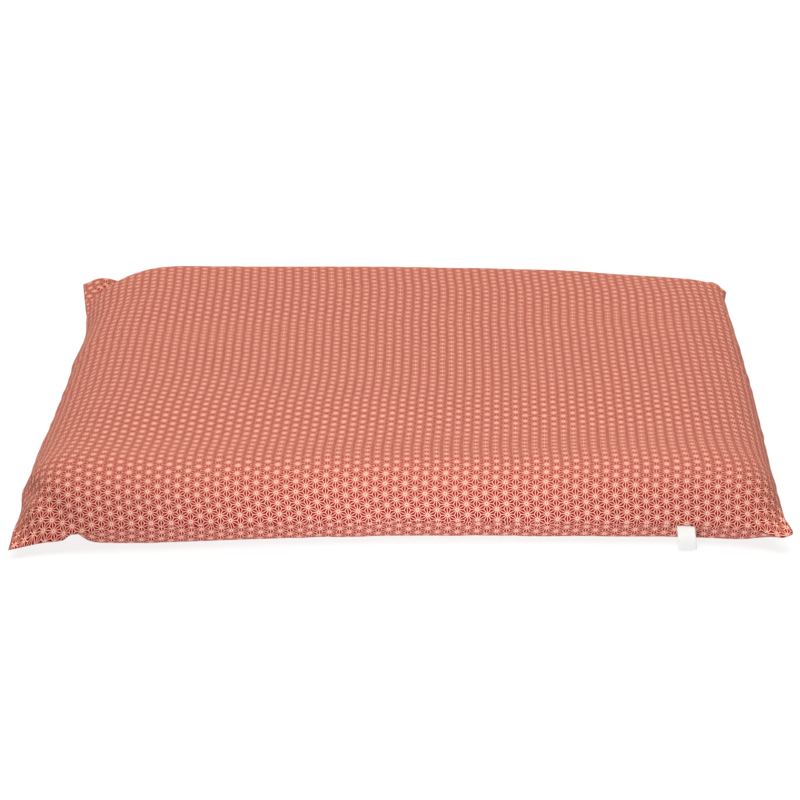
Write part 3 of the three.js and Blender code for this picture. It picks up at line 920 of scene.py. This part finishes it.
def pale_floor(colours, glow):
    """Plain pale matt floor, lit a little from below like a light table."""
    material, tree, shader = start_material("pale floor")
    faint = noise(tree, object_place(tree), FLOOR_LOOK["scale"])
    dark = tint(colours.floor, FLOOR_LOOK["dark"])
    feed(tree, shader["Base Color"], mix_colours(tree, faint, dark, tint(colours.floor)))
    shader["Roughness"].default_value = FLOOR_LOOK["roughness"]
    shader["Emission Color"].default_value = (1.0, 1.0, 1.0, 1.0)
    shader["Emission Strength"].default_value = glow
    return material


# The seam's stitches as geometry nodes


def stitch_tree():
    """Stitches along a line: resampled at the pitch, one small thread at each place, slightly slanted."""
    tree, given, result = new_group(
        "seam stitches",
        [
            ("Line", "NodeSocketGeometry", None), ("Pitch", "NodeSocketFloat", 0.0032),
            ("Stitch Length", "NodeSocketFloat", 0.0026), ("Thread Radius", "NodeSocketFloat", 0.0002),
            ("Slant", "NodeSocketFloat", 0.1), ("Seed", "NodeSocketInt", STITCH_SEED),
            ("Thread", "NodeSocketMaterial", None),
        ],
        [("Stitches", "NodeSocketGeometry")],
        "GeometryNodeTree",
    )
    line = wire(tree, "GeometryNodeMeshToCurve", {"Mesh": given["Line"]})["Curve"]
    spaced = wire(
        tree, "GeometryNodeResampleCurve", {"Curve": line, "Length": given["Pitch"]}, mode="LENGTH")["Curve"]
    ball = {"Segments": STITCH_SEGMENTS, "Rings": STITCH_RINGS, "Radius": 1.0}
    thread = wire(tree, "GeometryNodeMeshUVSphere", ball)["Mesh"]
    half = calc(tree, "MULTIPLY", given["Stitch Length"], 0.5)
    radius = given["Thread Radius"]
    size = wire(tree, "ShaderNodeCombineXYZ", {"X": half, "Y": radius, "Z": radius})[0]
    shaped = wire(tree, "GeometryNodeTransform", {"Geometry": thread, "Scale": size})["Geometry"]
    along = wire(tree, "GeometryNodeInputTangent", {})["Tangent"]
    facing = wire(tree, "FunctionNodeAlignRotationToVector", {"Vector": along}, axis="X")["Rotation"]
    chance = put(tree, "FunctionNodeRandomValue", data_type="FLOAT")
    least, most = [socket for socket in chance.inputs if socket.type == "VALUE" and socket.enabled][:2]
    feed(tree, least, calc(tree, "MULTIPLY", given["Slant"], -1.0))
    feed(tree, most, given["Slant"])
    feed(tree, chance.inputs["Seed"], given["Seed"])
    angle = [socket for socket in chance.outputs if socket.type == "VALUE" and socket.enabled][0]
    upright = {"Axis": (0.0, 0.0, 1.0), "Angle": angle}
    wobble = wire(tree, "FunctionNodeAxisAngleToRotation", upright)["Rotation"]
    both = {"Rotation": facing, "Rotate By": wobble}
    turned = wire(tree, "FunctionNodeRotateRotation", both, rotation_space="LOCAL")["Rotation"]
    copies = {"Points": spaced, "Instance": shaped, "Rotation": turned}
    placed = wire(tree, "GeometryNodeInstanceOnPoints", copies)["Instances"]
    real = wire(tree, "GeometryNodeRealizeInstances", {"Geometry": placed})["Geometry"]
    smooth = wire(tree, "GeometryNodeSetShadeSmooth", {"Geometry": real})["Geometry"]
    finish = wire(tree, "GeometryNodeSetMaterial", {"Geometry": smooth, "Material": given["Thread"]})
    feed(tree, result["Stitches"], finish["Geometry"])
    return tree


def bake_nodes(name, source, tree, **values):
    """Runs a geometry node tree on a source object and keeps the result as a plain mesh piece."""
    modifier = source.modifiers.new("nodes", "NODES")
    modifier.node_group = tree
    for item in tree.interface.items_tree:
        key = item.name.replace(" ", "_")
        if item.in_out == "INPUT" and key in values:
            modifier[item.identifier] = values[key]
    graph = bpy.context.evaluated_depsgraph_get()
    mesh = bpy.data.meshes.new_from_object(source.evaluated_get(graph))
    source.modifiers.remove(modifier)
    bpy.data.objects.remove(source)
    mesh.name = name
    return place_object(name, mesh)


# Operators


class ZABUTON_OT_lay_stage(bpy.types.Operator):
    """Lay the pale floor and set up the soft light and the camera."""

    bl_idname = "zabuton.lay_stage"
    bl_label = "Lay stage"

    def execute(self, context):
        scene = context.scene
        settings = scene.zabuton_stage
        corners = [(-1, -1), (1, -1), (1, 1), (-1, 1)]
        places = [(x * FLOOR_HALF, y * FLOOR_HALF, -FLOOR_DROP) for x, y in corners]
        floor = new_mesh_object("floor", places, [(0, 1, 2, 3)])
        floor.data.materials.append(pale_floor(scene.zabuton_colours, settings.floor_glow))
        camera = bpy.data.cameras.new("camera")
        camera.lens = settings.lens
        camera.sensor_width = SENSOR_WIDTH
        camera.clip_end = CAMERA_REACH
        looking = (math.pi / 2 - settings.camera_pitch, 0.0, 0.0)
        scene.camera = place_object("camera", camera, settings.camera_place, looking)
        world = bpy.data.worlds.new("studio")
        world.use_nodes = True
        backdrop = world.node_tree.nodes["Background"]
        backdrop.inputs["Color"].default_value = (*settings.sky_colour, 1.0)
        backdrop.inputs["Strength"].default_value = settings.sky
        scene.world = world
        scene.view_settings.view_transform = "Standard"
        above = bpy.data.lights.new("top light", "SUN")
        above.energy = settings.top
        above.angle = settings.top_softness
        above.color = settings.top_colour
        leaning = (math.pi / 2 - settings.top_height, 0.0, settings.top_side)
        place_object("top light", above, turn=leaning)
        before = bpy.data.lights.new("front light", "AREA")
        before.energy = settings.front
        before.size = settings.front_size
        before.color = settings.front_colour
        facing = (math.pi / 2 - settings.front_pitch, 0.0, 0.0)
        place_object("front light", before, settings.front_place, facing)
        return {"FINISHED"}


class ZABUTON_OT_sew_cover(bpy.types.Operator):
    """Make the filled cover of printed cotton."""

    bl_idname = "zabuton.sew_cover"
    bl_label = "Sew cover"

    def execute(self, context):
        scene = context.scene
        sizes = scene.zabuton_mat
        cover = Cover(sizes)
        panels, prints = [], []
        for is_top in (True, False):
            places = cover.places(is_top)
            prints.append(cover.prints(places, is_top))
            panels.append(cover.detailed(places, is_top))
        panels[1][..., 2] = np.maximum(panels[1][..., 2], 0.0)
        points, faces, corners = sew_panels(panels)
        pad = new_mesh_object("cover", points, faces.tolist())
        map_panels(pad, prints, corners)
        shade_smooth(pad)
        colours, print_sizes = scene.zabuton_colours, scene.zabuton_print
        pad.data.materials.append(printed_cotton(colours, hemp_leaf_group(), weave_group(), print_sizes))
        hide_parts("pad")
        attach(pad, "root")
        return {"FINISHED"}


class ZABUTON_OT_stitch_seam(bpy.types.Operator):
    """Lay the stitches in the groove of the seam."""

    bl_idname = "zabuton.stitch_seam"
    bl_label = "Stitch seam"

    def execute(self, context):
        scene = context.scene
        sizes = scene.zabuton_seam
        line = seam_ring(bpy.data.objects["cover"], Cover(scene.zabuton_mat))
        count = len(line)
        source = bpy.data.meshes.new("seam line")
        source.from_pydata([tuple(p) for p in line], [(i, (i + 1) % count) for i in range(count)], [])
        stitches = bake_nodes(
            "seam_stitches", place_object("seam line", source), stitch_tree(), Pitch=sizes.pitch,
            Stitch_Length=sizes.stitch_length, Thread_Radius=sizes.thread_radius, Slant=sizes.slant,
            Seed=STITCH_SEED, Thread=sewing_thread(scene.zabuton_colours))
        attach(stitches, "root")
        return {"FINISHED"}


class ZABUTON_OT_fold_tag(bpy.types.Operator):
    """Make the folded tape tag that hangs from the front seam."""

    bl_idname = "zabuton.fold_tag"
    bl_label = "Fold tag"

    def execute(self, context):
        scene = context.scene
        sizes = scene.zabuton_tag
        low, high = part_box("label")
        points, faces, flat = self.tape(sizes, low, high)
        tag = new_mesh_object("tag", points, faces)
        self.map_tape(tag, flat)
        shade_smooth(tag)
        tag.data.materials.append(woven_tape(scene.zabuton_colours, weave_group()))
        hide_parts("label")
        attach(tag, "root")
        return {"FINISHED"}

    def path(self, layer, low, high):
        """The tape's middle line in Y and Z: down in front, round the fold and up behind."""
        root = np.array([high.y + TAG_FORM["root_back"], high.z - TAG_FORM["root_down"]])
        tip = np.array([low.y, low.z]) + TAG_FORM["tip_in"]
        length = float(np.linalg.norm(tip - root))
        way = (tip - root) / length
        out = np.array([way[1], -way[0]])
        t = np.linspace(0, 1, TAG_STEPS["length"] + 1)
        bow = TAG_FORM["bow"] * np.sin(np.pi * t)
        middle = root + np.outer(t * length, way) + np.outer(bow, out)
        slope = unit(np.gradient(middle, axis=0))
        normal = np.stack([slope[:, 1], -slope[:, 0]], 1)
        gap = layer * TAG_FORM["gap"]
        apart = gap / 2 + layer / 2 + TAG_FORM["parting"] * np.sin(np.pi * t) ** 2
        front = middle + normal * apart[:, None]
        back = middle - normal * apart[:, None]
        turn = np.linspace(0, math.pi, TAG_STEPS["fold"] + 1)[1:-1]
        fold = [middle[-1] + apart[-1] * (math.cos(a) * normal[-1] + math.sin(a) * slope[-1]) for a in turn]
        return np.vstack([front, fold, back[::-1]])

    def tape(self, sizes, low, high):
        """Places, faces and flat coordinates of the tape, folded once and closed round its edges."""
        width, layer = sizes.tape_width, sizes.tape_thickness
        path = self.path(layer, low, high)
        ahead = unit(np.gradient(path, axis=0))
        side = np.stack([-ahead[:, 1], ahead[:, 0]], 1) * layer / 2
        steps = np.linalg.norm(np.diff(path, axis=0), axis=1)
        run = np.concatenate([[0], np.cumsum(steps)])
        left = low.x + TAG_FORM["left_in"]
        last, end = TAG_STEPS["width"], len(path) - 1
        points, flat = [], []
        for skin in (path + side, path - side):
            for i, share in enumerate(np.linspace(0, 1, last + 1)):
                for (y, z), along in zip(skin, run):
                    down = 1 - (z - low.z) / (high.z - low.z)
                    x = left + share * width + TAG_FORM["swing"] * down
                    points.append((x, y, z + TAG_FORM["lift"] * share * down))
                    flat.append((width * i / last, float(along)))

        def at(skin, i, k):
            return (skin * (last + 1) + i) * (end + 1) + k

        faces = []
        for i in range(last):
            for k in range(end):
                faces.append((at(0, i, k), at(0, i, k + 1), at(0, i + 1, k + 1), at(0, i + 1, k)))
                faces.append((at(1, i, k), at(1, i + 1, k), at(1, i + 1, k + 1), at(1, i, k + 1)))
        for k in range(end):
            faces.append((at(0, 0, k), at(1, 0, k), at(1, 0, k + 1), at(0, 0, k + 1)))
            faces.append((at(0, last, k), at(0, last, k + 1), at(1, last, k + 1), at(1, last, k)))
        for i in range(last):
            faces.append((at(0, i, 0), at(0, i + 1, 0), at(1, i + 1, 0), at(1, i, 0)))
            faces.append((at(0, i, end), at(1, i, end), at(1, i + 1, end), at(0, i + 1, end)))
        return points, faces, flat

    def map_tape(self, tag, flat):
        """Writes the flat coordinates, across the tape and along it, and turns the faces outwards."""
        layer = tag.data.uv_layers.new(name="cloth")
        for loop in tag.data.loops:
            layer.uv[loop.index].vector = flat[loop.vertex_index]
        work = bmesh.new()
        work.from_mesh(tag.data)
        bmesh.ops.recalc_face_normals(work, faces=work.faces)
        work.to_mesh(tag.data)
        work.free()


class ZABUTON_PT_sidebar(bpy.types.Panel):
    """The mat's pieces and sizes in the sidebar."""

    bl_label = "Zabuton"
    bl_idname = "ZABUTON_PT_sidebar"
    bl_space_type = "VIEW_3D"
    bl_region_type = "UI"
    bl_category = "Zabuton"

    def draw(self, context):
        for operator in OPERATORS:
            self.layout.operator(operator.bl_idname)
        for name, kind in GROUPS.items():
            box = self.layout.box()
            for key in kind.__annotations__:
                box.prop(getattr(context.scene, name), key)


OPERATORS = (ZABUTON_OT_lay_stage, ZABUTON_OT_sew_cover, ZABUTON_OT_stitch_seam, ZABUTON_OT_fold_tag)
GROUPS = {
    "zabuton_mat": MatSizes, "zabuton_print": PrintSizes, "zabuton_colours": ClothColours,
    "zabuton_seam": SeamSizes, "zabuton_tag": TagSizes, "zabuton_stage": StageSettings,
}


def register():
    """Registers the classes and gives the scene its groups of sizes."""
    for kind in (*GROUPS.values(), *OPERATORS, ZABUTON_PT_sidebar):
        bpy.utils.register_class(kind)
    for name, kind in GROUPS.items():
        setattr(bpy.types.Scene, name, bpy.props.PointerProperty(type=kind))


def unregister():
    """Takes the groups of sizes and the classes away again."""
    for name in GROUPS:
        delattr(bpy.types.Scene, name)
    for kind in reversed((*GROUPS.values(), *OPERATORS, ZABUTON_PT_sidebar)):
        bpy.utils.unregister_class(kind)


def main():
    """Makes the stage and every piece."""
    register()
    bpy.ops.zabuton.lay_stage()
    bpy.ops.zabuton.sew_cover()
    bpy.ops.zabuton.stitch_seam()
    bpy.ops.zabuton.fold_tag()


if __name__ == "__main__":
    main()
